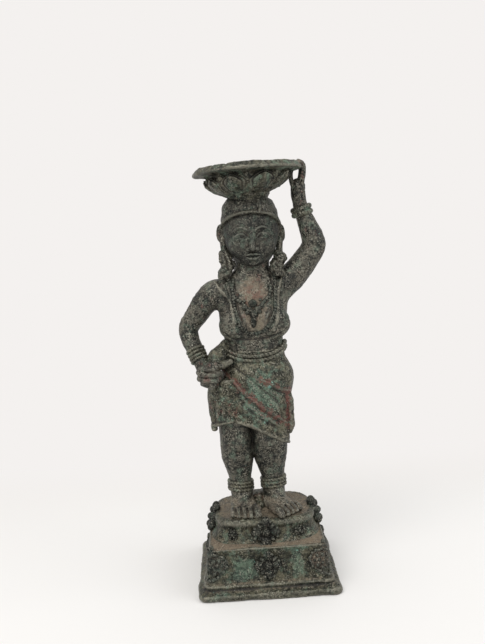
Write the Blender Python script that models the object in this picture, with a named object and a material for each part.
"""Cast brass lamp bearer on a stepped pedestal.

A standing figure carries a lotus dish on its head, steadies it with the left hand and
rests the right fist on the hip. Sizes are written in millimetres and become metres where a
mesh is made. +Z is up, the figure faces -Y and the origin is the middle of the underside.
Left and right are the figure's own, so its right side is at -X.
"""
import bpy
import bmesh
import math
import numpy as np
from mathutils import Vector

MM = 0.001

# ---------------------------------------------------------------- driving sizes, mm
GAP = 0.3                # clearance between neighbouring pieces

BASE_SIDE = 72.0         # foot plate, edge to edge
FOOT_EDGE = 4.2          # height of the plate's upright edge
FOOT_CORNER = 4.0        # corner radius of the plate
LEDGE = 3.0              # flat ledge between the plate's edge and the step moulding
STEP_RISE = 2.0
STEP_RUN = 1.3
WALL = 2.6               # thickness of the hollow pedestal's walls
TIER_HEIGHT = 17.8
TIER_BATTER = 2.4        # how far the lower tier's top edge stands in from its bottom edge
TIER_HOLLOW = 0.9        # depth of the lower tier's concave face
TIER_CORNER = 3.2
DRUM_HEIGHT = 10.9
DRUM_WIDTH = 56.0        # at its bottom, left to right
DRUM_DEPTH = 47.0        # at its bottom, front to back
DRUM_BATTER = 3.4
DRUM_LIP = 3.7           # height of the band around the top
DRUM_LIP_PROUD = 0.8
DRUM_SQUARENESS = 3.4    # 2 is an oval, more is squarer

LOWER_ROSETTE = 6.4      # radii of the applied rosettes
UPPER_ROSETTE = 6.7
SMALL_ROSETTE = 3.3
ROSETTE_BACK = 0.8       # thickness of a rosette's backing
LEAF_WIDTH = 9.0         # corner leaf, from the corner to its side
LEAF_HEIGHT = 13.5
LEAF_THICK = 1.5

SOLE_TO_ANKLE = 10.4
ANKLE_TO_WAIST = 70.2
WAIST_TO_NECK = 46.0     # belt line to the pit of the neck
NECK_TO_CROWN = 35.4
ANKLE_SPREAD = 17.3      # distance between the two ankles
LEG_X = -2.6             # middle between the ankles
HIP_WIDTH = 38.0
WAIST_WIDTH = 30.6
CHEST_WIDTH = 37.6
HEAD_WIDTH = 29.2
HEAD_DEPTH = 30.0
HEAD_X = 2.0
SHOULDER_DROP = 12.88    # pit of the neck down to the right shoulder joint
SHOULDER_LIFT = 0.92     # how much higher the raised left arm's shoulder is
EARRING_SPREAD = 30.4    # between the two bead bunches where they rest on the shoulders
HEM_MIDDLE = 36.9        # drop from the waist line to the slanted hem, at x = 0
HEM_SLOPE = 0.62         # how steeply the hem falls towards the left leg

COLLAR_HEIGHT = 2.0
COLLAR_RADIUS = 11.0
CALYX_HEIGHT = 10.4
PETALS = 12
DISH_X = 1.9
DISH_RADIUS = 27.8
RIM_OVERHANG = 6.0       # how far the dish's rim stands out past the calyx: the thumb's room
FLOOR_INSET = 7.8        # how far the dish's flat floor ends inside the calyx's edge
DISH_DEPTH = 6.2         # rim to floor
DISH_WALL = 2.0
RIM_EDGE = 3.5           # height of the dish's upright rim

ANKLET_WIDTH = 5.4       # along the leg
BANGLE_WIDTH = 6.0       # along the arm
RING_THICK = 1.5
BELT_CORD = 2.0          # diameter of each belt cord
HAND_LENGTH = 20.6       # left wrist to fingertips
FIST_SIZE = (13.0, 11.0, 12.6)
WRIST_ABOVE_WAIST = 1.7  # right wrist, where the bangle ends
NECKLACE_CORD = 1.5

# ---------------------------------------------------------------- heights that follow, mm
tier_base = FOOT_EDGE + STEP_RISE + GAP
tier_top = tier_base + TIER_HEIGHT
drum_base = tier_top + GAP
drum_top = drum_base + DRUM_HEIGHT
sole = drum_top + GAP
ankle = sole + SOLE_TO_ANKLE
waist = ankle + ANKLE_TO_WAIST
neck = waist + WAIST_TO_NECK
crown = neck + NECK_TO_CROWN
collar_base = crown + GAP
calyx_base = collar_base + COLLAR_HEIGHT + GAP
calyx_top = calyx_base + CALYX_HEIGHT
rim_base = calyx_top + GAP
rim_top = rim_base + RIM_EDGE
tier_half = BASE_SIDE / 2 - LEDGE - STEP_RUN

# ---------------------------------------------------------------- radii that follow, mm
CALYX_RADIUS = DISH_RADIUS - RIM_OVERHANG
DISH_FLOOR = CALYX_RADIUS - FLOOR_INSET

FULL_TURN = 2 * math.pi
FRONT, RIGHT_SIDE, LEFT_SIDE = -math.pi / 2, math.pi, 0.0

# colour (linear), roughness, metallic
FINISHES = {
    "dark_bronze": ((0.050, 0.055, 0.047), 0.45, 0.85),
    "green_patina": ((0.085, 0.125, 0.105), 0.70, 0.45),
    "brown_patina": ((0.150, 0.115, 0.085), 0.75, 0.35),
    "worn_knobs": ((0.030, 0.030, 0.028), 0.35, 0.90),
}


# ---------------------------------------------------------------- making objects
def clear_scene():
    for item in list(bpy.data.objects):
        bpy.data.objects.remove(item, do_unlink=True)


def finish(name):
    """The named patina as a material of its own for one piece."""
    colour, roughness, metallic = FINISHES[name]
    material = bpy.data.materials.new(name)
    material.use_nodes = True
    shader = material.node_tree.nodes["Principled BSDF"]
    shader.inputs["Base Color"].default_value = (*colour, 1.0)
    shader.inputs["Roughness"].default_value = roughness
    shader.inputs["Metallic"].default_value = metallic
    return material


def add_piece(name, vertices, faces, patina):
    """One object from millimetre vertices, with its faces turned outwards."""
    mesh = bpy.data.meshes.new(name)
    mesh.from_pydata([tuple(float(c) * MM for c in v) for v in vertices], [], faces)
    work = bmesh.new()
    work.from_mesh(mesh)
    bmesh.ops.remove_doubles(work, verts=work.verts, dist=1e-7)
    bmesh.ops.recalc_face_normals(work, faces=work.faces)
    work.to_mesh(mesh)
    work.free()
    mesh.shade_smooth()
    mesh.set_sharp_from_angle(angle=math.radians(40))
    piece = bpy.data.objects.new(name, mesh)
    bpy.context.scene.collection.objects.link(piece)
    piece.data.materials.append(finish(patina))
    return piece


def loft(name, rings, patina, closed=False, zipped=False):
    """Skin a stack of equal rings. The ends are capped, or joined when closed is set.

    A cap is a fan about its middle, or a zipped strip where the ring is long and thin.
    """
    count = len(rings[0])
    vertices = [point for ring in rings for point in ring]
    faces = []
    pairs = len(rings) if closed else len(rings) - 1
    for level in range(pairs):
        low, high = level * count, (level + 1) % len(rings) * count
        for step in range(count):
            after = (step + 1) % count
            faces.append((low + step, low + after, high + after, high + step))
    ends = () if closed else (0, len(rings) - 1)
    for level in ends:
        if zipped:
            for step in range(count // 2 - 1):
                across = count - 1 - step
                faces.append(tuple(level * count + k for k in (step, step + 1, across - 1, across)))
        else:
            middle = len(vertices)
            vertices.append(np.mean(np.array(rings[level]), axis=0))
            for step in range(count):
                faces.append((level * count + step, middle, level * count + (step + 1) % count))
    return add_piece(name, vertices, faces, patina)


def make_cutter(piece):
    piece.hide_render = True
    piece.display_type = "WIRE"
    return piece


def cut(piece, *cutters):
    """Cut the piece by each cutter with an exact Boolean."""
    for cutter in cutters:
        modifier = piece.modifiers.new("cut_" + cutter.name, "BOOLEAN")
        modifier.operation = "DIFFERENCE"
        modifier.solver = "EXACT"
        modifier.object = cutter


# ---------------------------------------------------------------- outlines
def oval(half_width, half_depth, height, power=2.0, count=24, centre=(0.0, 0.0)):
    """A level ring, from an ellipse (power 2) to nearly a rectangle."""
    ring = []
    for step in range(count):
        angle = FULL_TURN * (step + 0.5) / count
        c, s = math.cos(angle), math.sin(angle)
        ring.append((centre[0] + half_width * math.copysign(abs(c) ** (2 / power), c),
                     centre[1] + half_depth * math.copysign(abs(s) ** (2 / power), s), height))
    return ring


def rounded_square(half, radius, height, count=24):
    """A level ring: four corner arcs joined by straight sides."""
    ring = []
    per_corner = count // 4
    for corner in range(4):
        for step in range(per_corner):
            angle = math.pi / 2 * (corner + step / (per_corner - 1))
            middle = math.pi / 2 * corner + math.pi / 4
            x = math.copysign(half - radius, math.cos(middle)) + radius * math.cos(angle)
            y = math.copysign(half - radius, math.sin(middle)) + radius * math.sin(angle)
            ring.append((x, y, height))
    return ring


def smooth_row(table, position):
    """Read a table of stations at a position (its first column) along a smooth curve."""
    keys = table[:, 0]
    low = int(np.clip(np.searchsorted(keys, position, side="right") - 1, 0, len(keys) - 2))
    slopes = np.gradient(table, keys, axis=0)
    width = keys[low + 1] - keys[low]
    t = (position - keys[low]) / width
    t2, t3 = t * t, t * t * t
    return ((2 * t3 - 3 * t2 + 1) * table[low] + (t3 - 2 * t2 + t) * width * slopes[low]
            + (3 * t2 - 2 * t3) * table[low + 1] + (t3 - t2) * width * slopes[low + 1])[1:]


class Column:
    """An upright body of oval sections.

    A station is (height, centre x, centre y, half width, half depth).
    """

    def __init__(self, stations, power=2.2):
        self.table = np.array(stations, dtype=float)
        self.power = power

    def skin(self, angle, height):
        x, y, half_width, half_depth = smooth_row(self.table, height)
        c, s = math.cos(angle), math.sin(angle)
        return np.array((x + half_width * math.copysign(abs(c) ** (2 / self.power), c),
                         y + half_depth * math.copysign(abs(s) ** (2 / self.power), s), height))

    def normal(self, angle, height):
        step = 0.02
        around = self.skin(angle + step, height) - self.skin(angle - step, height)
        upward = self.skin(angle, height + step) - self.skin(angle, height - step)
        outward = np.cross(around, upward)
        return outward / np.linalg.norm(outward)

    def point(self, angle, height, lift=0.0):
        place = self.skin(angle, height)
        return place + lift * self.normal(angle, height) if lift else place

    def ring(self, height, count=24, lift=0.0):
        """A ring at a height, or at the height that a function gives for each angle."""
        angles = [FULL_TURN * (step + 0.5) / count for step in range(count)]
        heights = [height(a) if callable(height) else height for a in angles]
        return [self.point(a, h, lift) for a, h in zip(angles, heights)]

    def grown(self, lift, drop=0.0):
        """The same body, larger all round and lowered: the room it needs in a neighbour."""
        table = self.table.copy()
        table[:, 0] -= drop
        table[:, 3:] += lift
        table[0, 0] -= lift
        table[-1, 0] += lift
        return Column(table, self.power)

    def levels(self, low, high, steps):
        return [low + (high - low) * i / steps for i in range(steps + 1)]


def limb_rings(stations, steps, count=20, lift=0.0, start=0.0, end=1.0):
    """Rings square to a smooth path. A station is (share of the path, x, y, z, radius)."""
    table = np.array(stations, dtype=float)
    rings = []
    for i in range(steps + 1):
        share = start + (end - start) * i / steps
        x, y, z, radius = (float(value) for value in smooth_row(table, share))
        ahead = smooth_row(table, min(share + 0.01, 1.0))[:3]
        behind = smooth_row(table, max(share - 0.01, 0.0))[:3]
        along = Vector([float(value) for value in ahead - behind]).normalized()
        side = along.cross(Vector((0, 1, 0))).normalized()
        front = side.cross(along)
        middle = Vector((x, y, z))
        rings.append([tuple(middle + (radius + lift) * (math.cos(a) * side + math.sin(a) * front))
                      for a in (FULL_TURN * k / count for k in range(count))])
    return rings


def shares(points):
    """Number a path's stations evenly from 0 to 1."""
    return [(i / (len(points) - 1), *p) for i, p in enumerate(points)]


def band(name, inner_rings, outer_rings, patina):
    """A closed ring-shaped piece between an inner and an outer stack of rings."""
    return loft(name, inner_rings + outer_rings[::-1], patina, closed=True)


def ridged(steps, ridges, thick):
    """Thickness of a cuff made of round ridges, read at steps + 1 places across it."""
    return [thick * (0.55 + 0.45 * abs(math.sin(math.pi * ridges * i / steps)))
            for i in range(steps + 1)]


# ---------------------------------------------------------------- pedestal
def make_foot():
    half = BASE_SIDE / 2
    step_half = half - LEDGE
    hollow = tier_half - WALL
    chamfer = 0.6
    profile = [(half - chamfer, 0.0), (half, chamfer), (half, FOOT_EDGE - chamfer),
               (half - chamfer, FOOT_EDGE), (step_half, FOOT_EDGE),
               (step_half - STEP_RUN, FOOT_EDGE + STEP_RISE), (hollow, FOOT_EDGE + STEP_RISE),
               (hollow, 0.0)]
    rings = [rounded_square(h, min(FOOT_CORNER, h), z) for h, z in profile]
    loft("pedestal_foot", rings, "brown_patina", closed=True)


def tier_half_at(height):
    """Half side of the lower tier: it leans in, hollows in the middle and flares on top."""
    share = (height - tier_base) / TIER_HEIGHT
    return tier_half - TIER_BATTER * share - TIER_HOLLOW * math.sin(math.pi * share)


def drum_half(height):
    """Half width and half depth of the drum's plain face at a height."""
    lean = DRUM_BATTER * (height - drum_base) / DRUM_HEIGHT
    return DRUM_WIDTH / 2 - lean, DRUM_DEPTH / 2 - lean


def drum_ring(height, inset):
    half_width, half_depth = drum_half(height)
    return oval(half_width - inset, half_depth - inset, height, DRUM_SQUARENESS)


def make_lower_tier():
    outer = [rounded_square(tier_half_at(z), TIER_CORNER, z)
             for z in Column.levels(None, tier_base, tier_top, 6)]
    hole_width, hole_depth = (value - WALL - DRUM_LIP_PROUD for value in drum_half(drum_base))
    ceiling = tier_top - WALL
    hole = [oval(hole_width, hole_depth, z, DRUM_SQUARENESS) for z in (tier_top, ceiling)]
    inner = [rounded_square(tier_half_at(z) - WALL, TIER_CORNER / 2, z)
             for z in Column.levels(None, ceiling, tier_base, 3)]
    loft("pedestal_lower_tier", outer + hole + inner, "green_patina", closed=True)


def make_upper_tier():
    lip_base = drum_top - DRUM_LIP
    profile = [(drum_base, 0.0), (drum_base + DRUM_HEIGHT / 4, DRUM_LIP_PROUD),
               (lip_base - 0.6, DRUM_LIP_PROUD), (lip_base, 0.1), (drum_top - 0.5, 0.0),
               (drum_top, 0.5)]
    outer = [drum_ring(z, inset) for z, inset in profile]
    hollow = DRUM_LIP_PROUD + WALL
    inner = [drum_ring(z, hollow) for z in (drum_top - WALL, drum_base)]
    loft("pedestal_upper_tier", inner + outer, "green_patina")


# ---------------------------------------------------------------- applied ornament
def rosette(name, middle, outward, radius, knobs, patina="worn_knobs"):
    """A round flower of knobs: a backing disc that swells into a boss and a ring of balls.

    middle is on the surface that it sits on, and outward is that surface's direction.
    """
    outward = Vector(outward).normalized()
    across = Vector((0, 0, 1)).cross(outward).normalized()
    upward = outward.cross(across)
    middle = Vector(middle) + GAP * outward
    count = knobs * 3
    boss, ball = 0.30 * radius, 0.27 * radius
    stations = [(1.00, 0.0, 0.15), (0.86, 0.0, 0.85), (0.66, 0.0, 1.00), (0.40, 0.0, 0.0),
                (0.22, 0.85, 0.0)]
    rings = [[middle + radius * (math.cos(a) * across + math.sin(a) * upward)
              for a in (FULL_TURN * k / count for k in range(count))]]
    for reach, boss_share, ball_share in stations:
        ring = []
        for k in range(count):
            angle = FULL_TURN * k / count
            lobe = 0.5 + 0.5 * math.cos(knobs * angle)
            height = ROSETTE_BACK + boss * boss_share + ball * ball_share * lobe
            out = radius * reach
            ring.append(middle + height * outward
                        + out * (math.cos(angle) * across + math.sin(angle) * upward))
        rings.append(ring)
    return loft(name, [[tuple(p) for p in ring] for ring in rings], patina)


def make_rosettes():
    sides = {"front": (0, -1), "right": (-1, 0), "back": (0, 1), "left": (1, 0)}
    lean_lower = TIER_BATTER / TIER_HEIGHT
    lean_upper = DRUM_BATTER / DRUM_HEIGHT
    low_z = tier_base + TIER_HEIGHT / 2
    up_z = drum_base + UPPER_ROSETTE * math.cos(math.atan(lean_upper)) + GAP
    for side, (x, y) in sides.items():
        reach = tier_half - lean_lower * (low_z - tier_base)
        rosette("lower_rosette_" + side, (x * reach, y * reach, low_z), (x, y, lean_lower),
                LOWER_ROSETTE, 7)
        reach = drum_half(up_z)[0] if x else drum_half(up_z)[1]
        rosette("upper_rosette_" + side, (x * reach, y * reach, up_z), (x, y, lean_upper),
                UPPER_ROSETTE, 8)
    small_z = drum_base + SMALL_ROSETTE + GAP
    half_width, half_depth = drum_half(small_z)
    for side, x, y in (("front_right", -1, -1), ("front_left", 1, -1),
                       ("back_right", -1, 1), ("back_left", 1, 1)):
        place_x = 0.62 * half_width
        place_y = half_depth * (1 - 0.62 ** DRUM_SQUARENESS) ** (1 / DRUM_SQUARENESS)
        rosette("small_rosette_" + side, (x * place_x, y * place_y, small_z),
                (0.32 * x, y, lean_upper), SMALL_ROSETTE, 6)


def corner_point(corner_x, corner_y, along, height, lift):
    """A point on the lower tier, measured along its side from a corner, lifted off it."""
    half = tier_half_at(height)
    radius = TIER_CORNER + lift
    arc = TIER_CORNER * math.pi / 4
    turn = max(-1.0, min(1.0, along / arc)) * math.pi / 4
    centre = half - TIER_CORNER
    x = centre + radius * math.cos(math.pi / 4 + turn)
    y = centre + radius * math.sin(math.pi / 4 + turn)
    beyond = max(0.0, abs(along) - arc)
    if along > 0:
        x -= beyond
    else:
        y -= beyond
    return corner_x * x, corner_y * y, height


def make_corner_leaf(name, corner_x, corner_y):
    """A heart-shaped leaf that wraps round a corner of the lower tier."""
    rows = 5
    columns = (-1, -0.6, -0.27, -0.14, 0, 0.14, 0.27, 0.6, 1)
    top = tier_top - 1.0
    outer, inner = [], []
    for row in range(rows + 1):
        share = row / rows
        height = top - LEAF_HEIGHT * share
        swell = math.sin(math.pi * min(1.0, 0.16 + 0.84 * share)) ** 0.8
        half = 0.5 + LEAF_WIDTH * swell * (1 - 0.35 * share)
        outer.append([])
        inner.append([])
        for u in columns:
            dome = 0.35 + 0.65 * math.sqrt(max(0.0, 1 - u * u)) * (0.5 + 0.5 * swell)
            vein = 1 - 0.25 * math.exp(-(u / 0.15) ** 2)
            outer[-1].append(corner_point(corner_x, corner_y, half * u, height,
                                          2 * GAP + LEAF_THICK * dome * vein))
            inner[-1].append(corner_point(corner_x, corner_y, half * u, height, 2 * GAP))
    rings = [front + back[::-1] for front, back in zip(outer, inner)]
    loft(name, rings, "green_patina", zipped=True)


def make_corner_leaves():
    for side, x, y in (("front_right", -1, -1), ("front_left", 1, -1),
                       ("back_right", -1, 1), ("back_left", 1, 1)):
        make_corner_leaf("corner_leaf_" + side, x, y)


# ---------------------------------------------------------------- feet and legs
def hem_height(x):
    return waist - HEM_MIDDLE - HEM_SLOPE * x


RIGHT_ANKLE_X = LEG_X - ANKLE_SPREAD / 2
LEFT_ANKLE_X = LEG_X + ANKLE_SPREAD / 2
LEGS_MEET = LEG_X - 1.5


def leg_column(ankle_x, knee_x):
    """A leg from the ankle to above the hem. The two legs meet at the knees."""
    rise = ANKLE_TO_WAIST
    knee_half = abs(knee_x - LEGS_MEET) - GAP / 2
    return Column([
        (ankle + GAP, ankle_x, 0.5, 5.9, 5.9),
        (ankle + 0.09 * rise, ankle_x, 0.6, 6.1, 6.3),
        (ankle + 0.20 * rise, (ankle_x + knee_x) / 2, 0.8, 7.4, 7.8),
        (ankle + 0.30 * rise, knee_x, 0.6, knee_half - 0.2, 8.6),
        (ankle + 0.44 * rise, knee_x, 0.0, knee_half, 9.0),
        (ankle + 0.58 * rise, knee_x, 0.0, knee_half, 9.4),
        (ankle + 0.72 * rise, knee_x, 0.0, knee_half, 9.6),
    ], 2.1)


def right_leg():
    return leg_column(RIGHT_ANKLE_X, LEGS_MEET - 8.3)


def left_leg():
    return leg_column(LEFT_ANKLE_X, LEGS_MEET + 9.4)


def make_leg(name, column):
    middle = column.table[-1][1]
    half = column.table[-1][3]
    rings = [column.ring(ankle + GAP + 0.01, 20)]
    for level in range(1, 9):
        share = level / 8
        rings.append(column.ring(
            lambda a: ankle + (hem_height(middle + half * math.cos(a)) - GAP * 1.3 - ankle) * share,
            20))
    last = [(x, y, hem_height(x) - GAP * 1.3) for x, y, _ in rings[-1]]
    loft(name, rings[:-1] + [last], "dark_bronze")


def make_anklet(name, column):
    steps = 6
    low = ankle + GAP
    levels = Column.levels(None, low, low + ANKLET_WIDTH, steps)
    inner = [column.ring(z, 20, GAP) for z in (levels[0], levels[-1])]
    outer = [column.ring(z, 20, GAP + thick)
             for z, thick in zip(levels, ridged(steps, 3, RING_THICK))]
    band(name, inner, outer, "green_patina")


def make_bare_foot(name, ankle_x, turn):
    """A bare foot, from its sole to its ankle, turned about the ankle. The toes are grooves."""
    rise = SOLE_TO_ANKLE
    stations = [(0.0, -5.0, 7.3, 12.2), (0.16, -5.2, 7.7, 12.6), (0.34, -4.6, 7.4, 11.4),
                (0.56, -2.2, 6.7, 8.6), (0.78, -0.4, 6.2, 6.8), (1.0, 0.5, 5.9, 5.9)]
    count = 26
    rings = []
    for share, forward, half_width, half_depth in stations:
        ring = []
        for x, y, _ in oval(half_width, half_depth, 0.0, 2.5, count):
            toe = max(0.0, -y / half_depth) ** 2 * max(0.0, 0.4 - share) * 2.5
            y += toe * 0.9 * (0.5 - 0.5 * math.cos(FULL_TURN * 5 * x / (2 * half_width)))
            y += forward
            ring.append((ankle_x + x * math.cos(turn) - y * math.sin(turn),
                         x * math.sin(turn) + y * math.cos(turn), sole + rise * share))
        rings.append(ring)
    loft(name, rings, "dark_bronze")


def make_ankle_web():
    """The small block of metal left between the ankles."""
    half_width, half_depth, height = 1.5, 3.4, 6.4
    back = 4.6
    rings = [oval(half_width - 0.3 * share, half_depth, sole + height * share, 3.0, 16,
                  (LEG_X - 0.1, back)) for share in (0.0, 0.3, 0.8, 1.0)]
    return loft("ankle_web", rings, "brown_patina")


def make_legs_and_feet():
    make_leg("leg_right", right_leg())
    make_leg("leg_left", left_leg())
    make_anklet("anklet_right", right_leg())
    make_anklet("anklet_left", left_leg())
    make_bare_foot("foot_right", RIGHT_ANKLE_X, math.radians(-3))
    make_bare_foot("foot_left", LEFT_ANKLE_X, math.radians(38))
    make_ankle_web()


# ---------------------------------------------------------------- skirt, belt and drape
def skirt_column():
    hip = HIP_WIDTH / 2
    top = WAIST_WIDTH / 2
    return Column([
        (waist - 52.0, -1.6, 0.0, hip - 1.7, 10.6),
        (waist - 37.0, -1.7, -0.2, hip - 0.3, 11.6),
        (waist - 24.0, -1.5, 0.0, hip - 0.5, 12.6),
        (waist - 15.0, 0.3, 0.6, hip, 13.8),
        (waist - 9.0, 0.5, 0.8, hip - 0.4, 13.6),
        (waist - 3.5, 0.4, 0.4, top + 1.6, 11.8),
        (waist - 0.5, 0.2, 0.2, top + 0.2, 10.4),
        (waist, 0.2, 0.2, top, 10.2),
    ], 2.2)


def torso_column():
    low = WAIST_WIDTH / 2
    chest = CHEST_WIDTH / 2
    rise = WAIST_TO_NECK
    return Column([
        (waist, 0.2, 0.2, low, 10.2),
        (waist + 0.12 * rise, 0.2, 0.1, low - 0.2, 10.0),
        (waist + 0.22 * rise, 0.2, -0.2, low + 0.1, 10.6),
        (waist + 0.31 * rise, 0.4, -0.8, chest - 1.6, 12.2),
        (waist + 0.42 * rise, 0.5, -1.0, chest - 0.6, 12.9),
        (waist + 0.54 * rise, 0.7, -0.6, chest - 0.3, 12.4),
        (waist + 0.67 * rise, 0.8, 0.0, chest, 11.2),
        (waist + 0.80 * rise, 1.0, 0.6, chest - 0.8, 9.6),
        (waist + 0.89 * rise, 1.3, 0.7, chest - 4.2, 8.2),
        (waist + 0.95 * rise, 1.7, 0.5, 10.0, 7.3),
        (neck, HEAD_X, 0.3, 7.8, 6.9),
        (neck + 8.0, HEAD_X, 0.6, 7.2, 6.7),
    ], 2.3)


def skirt_levels(steps):
    """Heights between the waist and the slanted hem, each a function of the angle."""
    half = HIP_WIDTH / 2

    def level(share):
        return lambda a: (waist - GAP
                          + (hem_height(-1.6 + half * math.cos(a)) - waist + GAP) * share)
    return [level(i / steps) for i in range(steps + 1)]


def make_skirt():
    column = skirt_column()
    rings = [column.ring(level, 28) for level in skirt_levels(9)]
    last = [(x, y, hem_height(x)) for x, y, _ in rings[-1]]
    loft("wrap_skirt", rings[:-1] + [last], "green_patina")


def belt_sag(angle):
    """The belt hangs lower at the front and back than over the hips."""
    return 1.7 * math.cos(angle) ** 2


def make_belt_cord(name, height):
    """One of the belt's two round cords, a closed ring about the waist."""
    sides, count = 6, 28
    column = torso_column()
    _, middle_x, middle_y, half_width, half_depth = column.table[0]
    radius = BELT_CORD / 2
    rings = []
    for side in range(sides):
        turn = FULL_TURN * side / sides
        ring = []
        for k in range(count):
            angle = FULL_TURN * (k + 0.5) / count
            reach = GAP + 0.35 + radius + radius * math.cos(turn)
            x, y, _ = oval(half_width + reach, half_depth + reach, 0, column.power, count)[k]
            ring.append((middle_x + x, middle_y + y,
                         waist + height + belt_sag(angle) + radius * math.sin(turn)))
        rings.append(ring)
    loft(name, rings, "green_patina", closed=True)


def skirt_strip(name, route, half_width, thick, patina):
    """A raised fold on the skirt. The route is a list of (angle, height below the waist)."""
    column = skirt_column()
    table = np.array(shares(route), dtype=float)
    rings = []
    steps, across = 14, 4
    for i in range(steps + 1):
        share = i / steps
        angle, below = smooth_row(table, share)
        taper = 0.25 + 0.75 * math.sin(math.pi * share) ** 0.5
        outer, inner = [], []
        for k in range(across + 1):
            u = 2 * k / across - 1
            height = waist - below + half_width * taper * u
            dome = 0.3 + 0.7 * (1 - u * u)
            outer.append(column.point(angle, height, GAP + thick * taper * dome))
            inner.append(column.point(angle, height, GAP))
        rings.append(outer + inner[::-1])
    return loft(name, rings, patina, zipped=True)


def make_side_drape():
    """The loose end of the cloth, hanging from the fist down the right thigh."""
    column = Column([
        (waist - 37.5, -23.6, -3.4, 1.9, 4.6),
        (waist - 32.0, -23.2, -3.2, 2.4, 5.6),
        (waist - 22.0, -23.0, -3.0, 2.9, 6.2),
        (waist - 14.5, -22.2, -3.2, 2.8, 5.4),
    ], 2.6)
    rings = [column.ring(z, 16) for z in column.levels(waist - 37.4, waist - 14.6, 5)]
    return loft("side_drape", rings, "green_patina")


def make_skirt_pieces():
    make_skirt()
    make_belt_cord("belt_cord_upper", 1.9)
    make_belt_cord("belt_cord_lower", -0.6 - GAP)
    skirt_strip("skirt_fold_long", [(math.radians(-150), 9.5), (math.radians(-120), 15.5),
                                    (math.radians(-90), 23.5), (math.radians(-58), 31.5)],
                1.3, 1.1, "brown_patina")
    skirt_strip("skirt_fold_hip", [(math.radians(-84), 9.5), (math.radians(-60), 14.0),
                                   (math.radians(-30), 17.0), (math.radians(12), 15.5)],
                1.5, 1.2, "brown_patina")


# ---------------------------------------------------------------- torso and necklaces
def torso_rings(column):
    return [column.ring(z, 24) for z in column.levels(waist + 0.01, neck + 7.5, 12)]


def make_torso():
    return loft("torso", torso_rings(torso_column()), "dark_bronze")


def necklace(name, depth_at, size, count):
    """A closed cord laid on the torso. depth_at gives its height for an angle."""
    column = torso_column()
    sides = 4
    middles = []
    for k in range(count):
        angle = FULL_TURN * (k + 0.5) / count
        middles.append(Vector(column.point(angle, depth_at(angle), GAP + 0.3 + size / 2)))
    rings = []
    for k, middle in enumerate(middles):
        along = (middles[(k + 1) % count] - middles[k - 1]).normalized()
        outward = Vector(column.normal(FULL_TURN * (k + 0.5) / count,
                                       depth_at(FULL_TURN * (k + 0.5) / count)))
        side = along.cross(outward).normalized()
        outward = side.cross(along)
        rings.append([tuple(middle + size / 2 * (math.cos(a) * outward + math.sin(a) * side))
                      for a in (FULL_TURN * s / sides for s in range(sides))])
    loft(name, rings, "worn_knobs", closed=True)


def necklace_drop(lowest, highest, spread):
    """A height for each angle: lowest at the front, round the neck everywhere else."""
    def height(angle):
        away = abs((angle - FRONT + math.pi) % FULL_TURN - math.pi)
        share = 1 / (1 + (away / spread) ** 6)
        return highest - (highest - lowest) * share
    return height


def make_necklaces():
    necklace("necklace_long", necklace_drop(waist + 13.0, neck - 2.8, math.radians(32)),
             NECKLACE_CORD, 48)
    necklace("necklace_short", necklace_drop(waist + 29.8, neck - 0.4, math.radians(27)),
             NECKLACE_CORD * 0.85, 40)
    column = torso_column()
    for name, height, size, drop in (("pendant_rosette", waist + 25.9, 2.9, 1.0),
                                     ("pendant_drop", waist + 20.2, 1.9, 1.45)):
        middle = column.point(FRONT, height)
        outward = Vector(column.normal(FRONT, height))
        upward = Vector((1, 0, 0)).cross(-outward).normalized()
        base = Vector(middle) + (GAP + 0.2) * outward
        rings = []
        for reach, rise in ((0.9, 0.0), (1.0, 0.35), (0.75, 0.75), (0.35, 1.0)):
            rings.append([tuple(base + rise * size * 0.8 * outward
                                + reach * size * (math.cos(a) * Vector((1, 0, 0))
                                                  + drop * math.sin(a) * upward))
                          for a in (FULL_TURN * k / 12 for k in range(12))])
        loft(name, rings, "worn_knobs")


# ---------------------------------------------------------------- arms and hands
def right_arm_stations():
    """Shoulder, elbow and wrist of the arm whose fist rests beside the belt."""
    shoulder_x = -CHEST_WIDTH / 2
    shoulder_z = neck - SHOULDER_DROP
    drop = shoulder_z - (waist + WRIST_ABOVE_WAIST)
    return shares([
        (shoulder_x + 6.0, 1.0, shoulder_z + 0.04 * drop, 6.4),
        (shoulder_x - 1.6, 1.5, shoulder_z - 0.03 * drop, 7.2),
        (shoulder_x - 8.8, 2.2, shoulder_z - 0.26 * drop, 6.1),
        (shoulder_x - 14.4, 2.6, shoulder_z - 0.54 * drop, 5.4),
        (shoulder_x - 13.4, -0.6, shoulder_z - 0.78 * drop, 4.9),
        (shoulder_x - 9.9, -4.6, shoulder_z - drop, 4.2),
    ])


def left_arm_stations():
    """Shoulder, elbow and wrist of the arm that reaches up to the dish's rim."""
    shoulder_x = CHEST_WIDTH / 2
    shoulder_z = neck - SHOULDER_DROP + SHOULDER_LIFT
    wrist_x = DISH_X + DISH_RADIUS - 1.8
    wrist_z = rim_top - HAND_LENGTH
    reach = wrist_z - shoulder_z
    return shares([
        (shoulder_x - 6.5, 1.0, shoulder_z, 6.4),
        (shoulder_x + 0.4, 1.0, shoulder_z + 0.09 * reach, 6.9),
        (shoulder_x + 7.3, 0.8, shoulder_z + 0.25 * reach, 6.5),
        (shoulder_x + 14.5, 0.5, shoulder_z + 0.43 * reach, 6.0),
        (shoulder_x + 14.6, 0.0, shoulder_z + 0.62 * reach, 5.6),
        (wrist_x + 2.2, -0.3, shoulder_z + 0.80 * reach, 5.0),
        (wrist_x, -0.6, wrist_z, 4.4),
    ])


def path_length(stations):
    places = np.array([row[1:4] for row in stations])
    return float(np.linalg.norm(np.diff(places, axis=0), axis=1).sum())


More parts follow.
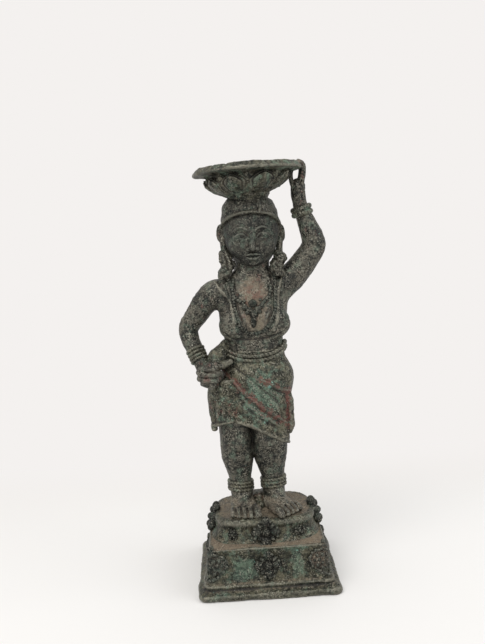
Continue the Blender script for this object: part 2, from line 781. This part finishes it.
def cuff(name, stations, ridges):
    """A ridged bangle at the wrist end of an arm."""
    steps = 6
    end = 0.995
    start = end - BANGLE_WIDTH / path_length(stations)
    inner = limb_rings(stations, 2, 16, GAP, start, end)
    outer = []
    for i, thick in enumerate(ridged(steps, ridges, RING_THICK)):
        share = start + (end - start) * i / steps
        outer += limb_rings(stations, 1, 16, GAP + thick, share, share + 1e-6)[:1]
    band(name, inner, outer, "green_patina")


def make_fist():
    """The closed right hand: four finger ridges across its front."""
    width, depth, height = FIST_SIZE
    x = -CHEST_WIDTH / 2 - 3.9
    z = waist + WRIST_ABOVE_WAIST - 2.8 - height / 2
    rings = []
    steps = 12
    for i in range(steps + 1):
        share = i / steps
        roundness = math.sin(math.pi * (0.08 + 0.84 * share)) ** 0.45
        finger = 1 - 0.10 * (0.5 + 0.5 * math.cos(FULL_TURN * 4 * share))
        rings.append(oval(width / 2 * roundness, depth / 2 * roundness * finger,
                          z - height / 2 + height * share, 2.6, 20, (x, -9.4)))
    return loft("hand_right", rings, "dark_bronze")


def make_arms():
    right, left = right_arm_stations(), left_arm_stations()
    room = torso_rings(torso_column().grown(1.2 * GAP))
    cutter = make_cutter(loft("torso_room", room, "dark_bronze"))
    arm_right = loft("arm_right", limb_rings(right, 13, 16), "dark_bronze")
    arm_left = loft("arm_left", limb_rings(left, 14, 16), "dark_bronze")
    cut(arm_right, cutter)
    cut(arm_left, cutter)
    cuff("bangle_right", right, 3)
    cuff("bangle_left", left, 2)
    return cutter


def make_left_hand(dish_room):
    """The raised hand: a palm, fingers up against the rim's edge and a thumb under it."""
    wrist_x, wrist_y, wrist_z, _ = left_arm_stations()[-1][1:]
    knuckle_z = wrist_z + 0.46 * HAND_LENGTH
    before, last = (np.array(row[1:4]) for row in left_arm_stations()[-2:])
    along = (last - before) / np.linalg.norm(last - before)
    start, heel = last + 1.4 * GAP * along, last + 2.4 * along
    palm = shares([(*start, 3.9), (*heel, 3.9), (wrist_x - 0.8, wrist_y, knuckle_z - 2.5, 3.9),
                   (wrist_x - 0.8, wrist_y, knuckle_z, 3.7)])
    loft("hand_left", limb_rings(palm, 6, 16), "dark_bronze")
    top = rim_top - 0.6
    fingers = shares([(wrist_x + 1.4, wrist_y, knuckle_z + 1.8 * GAP, 2.1),
                      (wrist_x + 2.2, wrist_y + 0.3, (knuckle_z + top) / 2, 2.2),
                      (wrist_x + 2.5, wrist_y + 0.5, top, 2.0)])
    cut(loft("fingers_left", limb_rings(fingers, 7, 12), "dark_bronze"), dish_room)
    tip = rim_base - 2 * GAP
    thumb = shares([(wrist_x - 2.3, wrist_y - 0.7, knuckle_z + 1.5 * GAP, 1.6),
                    (wrist_x - 2.0, wrist_y - 0.8, (knuckle_z + tip) / 2, 1.5),
                    (wrist_x - 1.6, wrist_y - 0.8, tip, 1.4)])
    loft("thumb_left", limb_rings(thumb, 5, 12), "dark_bronze")


# ---------------------------------------------------------------- head
def head_column():
    half, deep = HEAD_WIDTH / 2, HEAD_DEPTH / 2
    rise = NECK_TO_CROWN
    return Column([
        (neck + 0.3, HEAD_X, -6.6, 0.36 * half, 0.30 * deep),
        (neck + 0.05 * rise, HEAD_X, -5.0, 0.56 * half, 0.53 * deep),
        (neck + 0.14 * rise, HEAD_X, -2.9, 0.76 * half, 0.77 * deep),
        (neck + 0.26 * rise, HEAD_X, -1.0, 0.88 * half, 0.92 * deep),
        (neck + 0.44 * rise, HEAD_X, 0.0, 0.95 * half, 0.98 * deep),
        (neck + 0.60 * rise, HEAD_X, 0.3, 0.99 * half, deep),
        (neck + 0.76 * rise, HEAD_X, 0.4, half, deep),
        (neck + 0.88 * rise, HEAD_X, 0.4, 0.93 * half, 0.94 * deep),
        (neck + 0.96 * rise, HEAD_X, 0.3, 0.81 * half, 0.82 * deep),
        (crown, HEAD_X, 0.2, 0.74 * half, 0.74 * deep),
    ], 2.1)


def hairline(y):
    """The hair's lower edge is a slanted plane, high over the brow and low at the nape."""
    return neck + 0.48 * NECK_TO_CROWN - 0.72 * y


def head_rings(column, bottom, steps=10):
    """Rings from the jaw to the slanted hairline."""
    deep = HEAD_DEPTH / 2

    def level(share):
        return lambda a: bottom + (hairline(deep * math.sin(a)) - GAP * 1.3 - bottom) * share
    rings = [column.ring(level(i / steps), 24) for i in range(steps + 1)]
    rings[-1] = [(x, y, hairline(y) - GAP * 1.3) for x, y, _ in rings[-1]]
    return rings


def make_head():
    nose_z = neck + 0.42 * NECK_TO_CROWN
    rings = []
    for ring in head_rings(head_column(), neck + 0.31):
        rings.append([])
        for x, y, z in ring:
            nose = math.exp(-((x - HEAD_X) / 1.6) ** 2 - ((z - nose_z) / 2.6) ** 2)
            rings[-1].append((x, y - (2.6 * nose if y < 0 else 0.0), z))
    loft("head", rings, "dark_bronze")


def hair_rings(column, drop=0.0, steps=6):
    """Rings from the slanted hairline, or from lower by drop, to the crown."""
    deep = HEAD_DEPTH / 2

    def level(share):
        return lambda a: (hairline(deep * math.sin(a)) - drop) * (1 - share) + crown * share
    rings = [column.ring(level(i / steps), 24) for i in range(steps + 1)]
    rings[0] = [(x, y, hairline(y) - drop) for x, y, _ in rings[0]]
    return rings


def make_hair():
    loft("hair_cap", hair_rings(head_column()), "dark_bronze")


def make_ears(*rooms):
    head = head_column()
    for name, side, angle in (("ear_right", -1, RIGHT_SIDE), ("ear_left", 1, LEFT_SIDE)):
        low, high = neck + 0.27 * NECK_TO_CROWN, neck + 0.60 * NECK_TO_CROWN
        middle = head.point(angle, (low + high) / 2)
        x = middle[0] + side * 1.0
        rings = []
        for share, size in ((0.0, 0.45), (0.2, 0.7), (0.5, 0.85), (0.8, 1.0), (1.0, 0.6)):
            rings.append(oval(1.7 * size, 2.7 * size, low + (high - low) * share, 2.0, 12,
                              (x - side * 0.5 * (1 - share), 1.2)))
        cut(loft(name, rings, "dark_bronze"), *rooms)


def make_earrings(*rooms):
    """Bunches of beads that hang from the ear lobes to the shoulders."""
    for name, side, low in (("earring_right", -1, neck - 1.6), ("earring_left", 1, neck + 1.6)):
        high = neck + 0.27 * NECK_TO_CROWN - GAP
        resting, hanging = EARRING_SPREAD / 2, HEAD_WIDTH / 2 - 0.2
        rings = []
        steps = 12
        for i in range(steps + 1):
            share = i / steps
            bead = 0.62 + 0.38 * abs(math.sin(math.pi * 3 * share))
            swell = 1.0 - 0.25 * share
            x = HEAD_X + side * (resting + (hanging - resting) * share)
            rings.append(oval(3.0 * bead * swell, 3.2 * bead * swell, low + (high - low) * share,
                              2.0, 12, (x, -0.6)))
        cut(loft(name, rings, "green_patina"), *rooms)


def make_head_pieces(torso, torso_cutter):
    make_head()
    make_hair()
    jaw = head_rings(head_column().grown(GAP, GAP), neck - GAP / 2)
    jaw_room = make_cutter(loft("jaw_room", jaw, "dark_bronze"))
    hair = hair_rings(head_column().grown(GAP), 3 * GAP)
    hair_room = make_cutter(loft("hair_room", hair, "dark_bronze"))
    cut(torso, jaw_room)
    make_ears(jaw_room, hair_room)
    make_earrings(jaw_room, torso_cutter)


# ---------------------------------------------------------------- collar, calyx and dish
def turned(radius, height, count=36, lobes=0, depth=0.0):
    """A ring about the dish's axis, with rounded lobes if asked."""
    ring = []
    for k in range(count):
        angle = FULL_TURN * k / count
        reach = radius * (1 - depth + depth * abs(math.cos(lobes * angle / 2))) if lobes else radius
        ring.append((DISH_X + reach * math.cos(angle), reach * math.sin(angle), height))
    return ring


def make_collar():
    top = collar_base + COLLAR_HEIGHT
    rings = [oval(COLLAR_RADIUS * share, COLLAR_RADIUS * share, z, 2.0, 28, (DISH_X, 0.2))
             for share, z in ((0.86, collar_base), (0.9, collar_base + 0.5), (1.0, top - 0.4),
                              (0.96, top))]
    loft("crown_collar", rings, "brown_patina")


def dish_profile():
    """Inside of the dish from its floor to the rim, as (radius, height)."""
    floor = rim_top - DISH_DEPTH
    shelf = rim_base + 0.75 * DISH_WALL
    return [(DISH_FLOOR, floor), (DISH_FLOOR + 4.0, shelf), (DISH_RADIUS - 3.0, shelf + 0.4),
            (DISH_RADIUS - 1.8, rim_top)]


def bowl_profile(lift=0.0):
    """Underside of the dish's bowl, from its bottom to where the rim starts."""
    floor = rim_top - DISH_DEPTH - DISH_WALL
    return [(DISH_FLOOR + 0.6 + lift, floor - lift),
            (DISH_FLOOR + 5.6 + lift, rim_base)]


def make_calyx():
    count = PETALS * 4
    top = calyx_top
    outer = [(0.47, 0.0, 0.0), (0.56, 0.08, 0.03), (0.74, 0.24, 0.08), (0.90, 0.48, 0.10),
             (0.99, 0.74, 0.07), (1.0, 1.0, 0.03)]
    rings = [turned(CALYX_RADIUS * share, calyx_base + CALYX_HEIGHT * rise, count, PETALS, lobe)
             for share, rise, lobe in outer]
    (low_radius, low_z), (high_radius, _) = bowl_profile(GAP)
    rings.append(turned(high_radius, top, count))
    rings.append(turned(low_radius, low_z, count))
    loft("lotus_calyx", rings, "green_patina")


def make_dish():
    underside = bowl_profile() + [(DISH_RADIUS - 1.4, rim_base), (DISH_RADIUS, rim_base + 0.9),
                                  (DISH_RADIUS, rim_top - 0.5), (DISH_RADIUS - 0.6, rim_top)]
    rings = [turned(r, z) for r, z in underside + dish_profile()[::-1]]
    loft("oil_dish", rings, "green_patina")
    room = [turned(DISH_RADIUS + GAP, z) for z in (rim_base - GAP, rim_top + 5)]
    return make_cutter(loft("dish_room", room, "green_patina"))


# ---------------------------------------------------------------- the whole object
def fit_right_side():
    """Keep the fist and the hanging cloth clear of the skirt and the leg."""
    skirt = skirt_column().grown(GAP)
    levels = skirt.levels(waist - 52, waist, 16)
    skirt_room = make_cutter(loft("skirt_room", [skirt.ring(z, 32) for z in levels],
                                  "dark_bronze"))
    leg = right_leg().grown(GAP)
    leg_levels = leg.levels(ankle + 12, ankle + 0.7 * ANKLE_TO_WAIST, 10)
    leg_room = make_cutter(loft("leg_room", [leg.ring(z, 20) for z in leg_levels],
                                "dark_bronze"))
    cut(make_fist(), skirt_room)
    cut(make_side_drape(), skirt_room, leg_room)


def build():
    clear_scene()
    make_foot()
    make_lower_tier()
    make_upper_tier()
    make_rosettes()
    make_corner_leaves()
    make_legs_and_feet()
    make_skirt_pieces()
    fit_right_side()
    torso = make_torso()
    make_necklaces()
    torso_cutter = make_arms()
    make_head_pieces(torso, torso_cutter)
    make_collar()
    make_calyx()
    make_left_hand(make_dish())


build()
